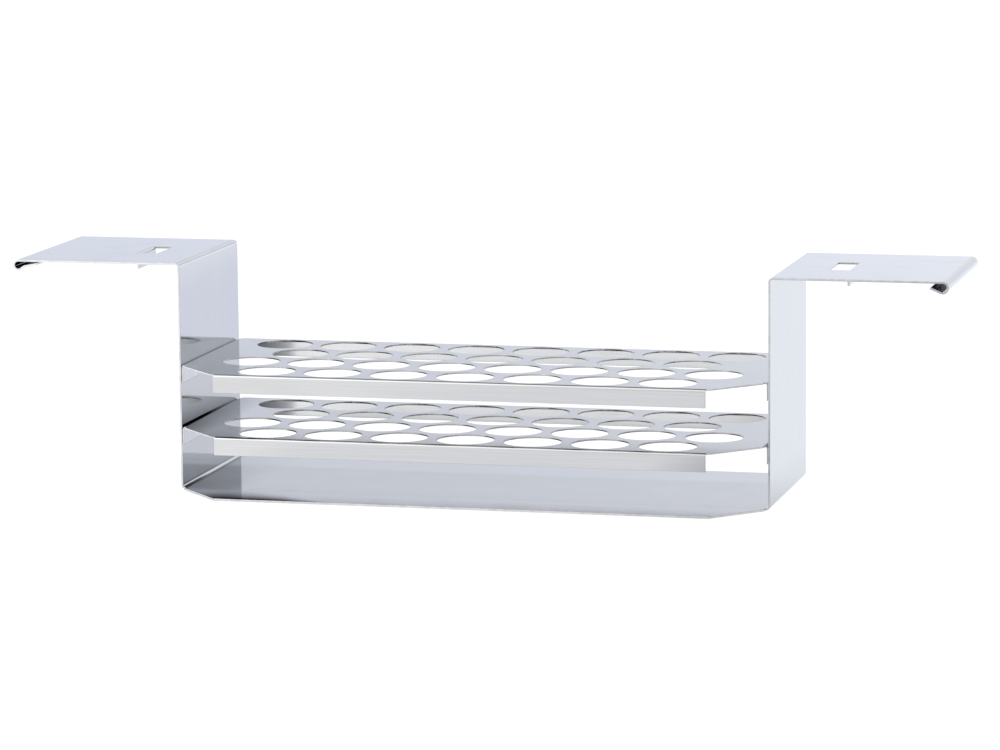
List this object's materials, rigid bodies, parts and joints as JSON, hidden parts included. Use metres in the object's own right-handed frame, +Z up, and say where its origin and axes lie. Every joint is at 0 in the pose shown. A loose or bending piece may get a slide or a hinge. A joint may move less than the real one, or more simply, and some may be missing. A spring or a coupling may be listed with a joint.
{
  "type": "test tube rack",
  "caption": "Hanging rack of folded stainless sheet: a U-shaped frame with flat hangers and rolled ends holds two perforated trays, one above the other, over a base plate.",
  "frame": {"origin": "on the ground under the centre of the tube hole pattern, in the middle of the base plate's underside", "axes": "+X to the right hanger, +Y to the rear, where the walls, trays and base end flush, +Z up; the corners cut off the base and the trays face -Y"},
  "size_m": [0.448, 0.118, 0.108],
  "materials": {
    "frame_sheet": "bright rolled stainless sheet, fine grain across the bends",
    "tray_sheet": "satin stainless sheet, fine grain along the flanges",
    "weld_metal": "fused stainless steel, dull"
  },
  "bodies": {
    "root": {"frame": "frame_sheet", "upper_tray": "tray_sheet", "lower_tray": "tray_sheet", "upper_tray_welds": "weld_metal", "lower_tray_welds": "weld_metal"}
  },
  "joints": []
}
